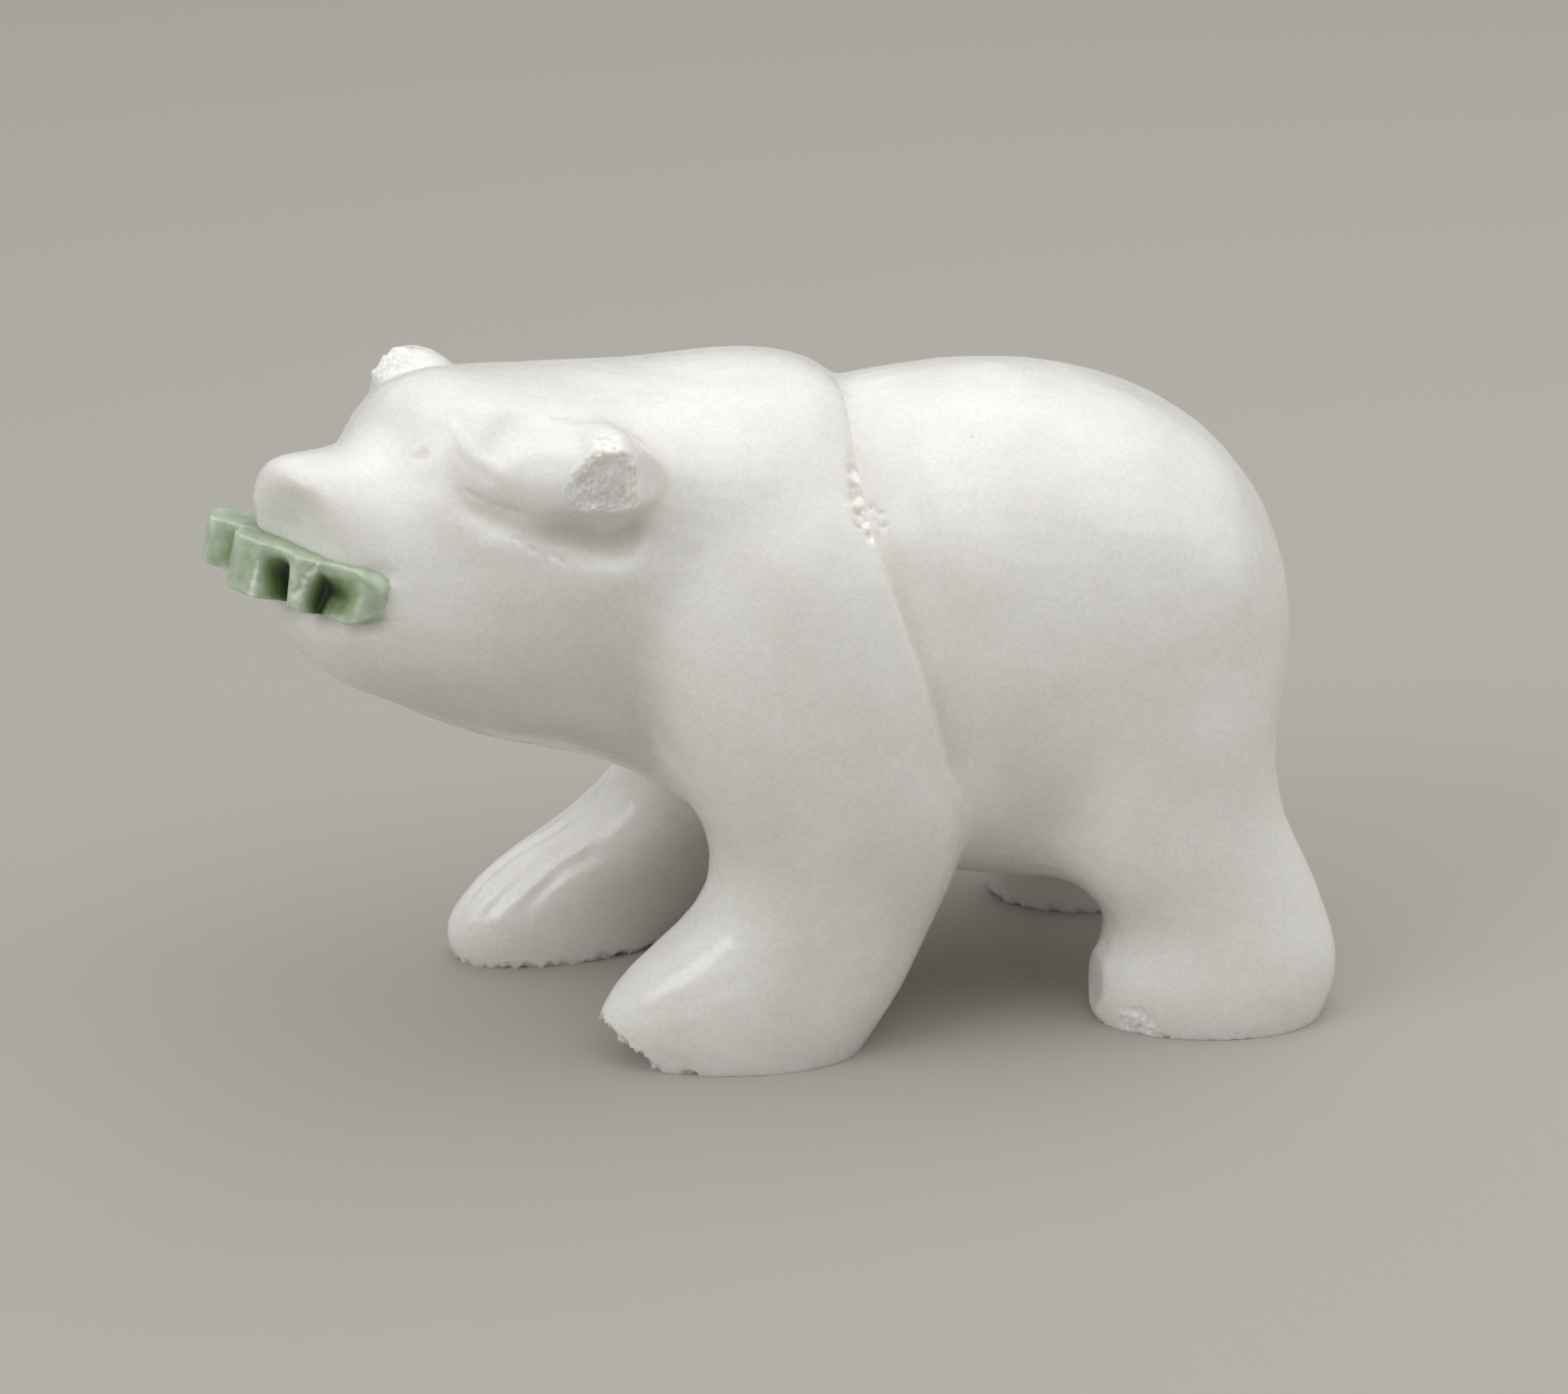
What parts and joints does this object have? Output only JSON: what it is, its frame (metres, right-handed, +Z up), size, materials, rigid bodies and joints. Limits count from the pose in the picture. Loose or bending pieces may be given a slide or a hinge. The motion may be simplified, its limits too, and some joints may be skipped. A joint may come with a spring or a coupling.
{
  "type": "animal carving",
  "caption": "Walking polar bear carved from polished white quartz, head turned to its left, with a green nephrite fish held crosswise in its mouth.",
  "frame": {"origin": "centre of the bounding box in plan, at the level of the soles", "axes": "+X towards the tail, so the bear walks towards -X; +Y towards the bear's right; +Z up"},
  "size_m": [0.1242, 0.054, 0.0771],
  "materials": {
    "quartz": "polished",
    "nephrite": "satin"
  },
  "bodies": {
    "root": {"polar_bear": "quartz", "jade_fish": "nephrite"}
  },
  "joints": []
}
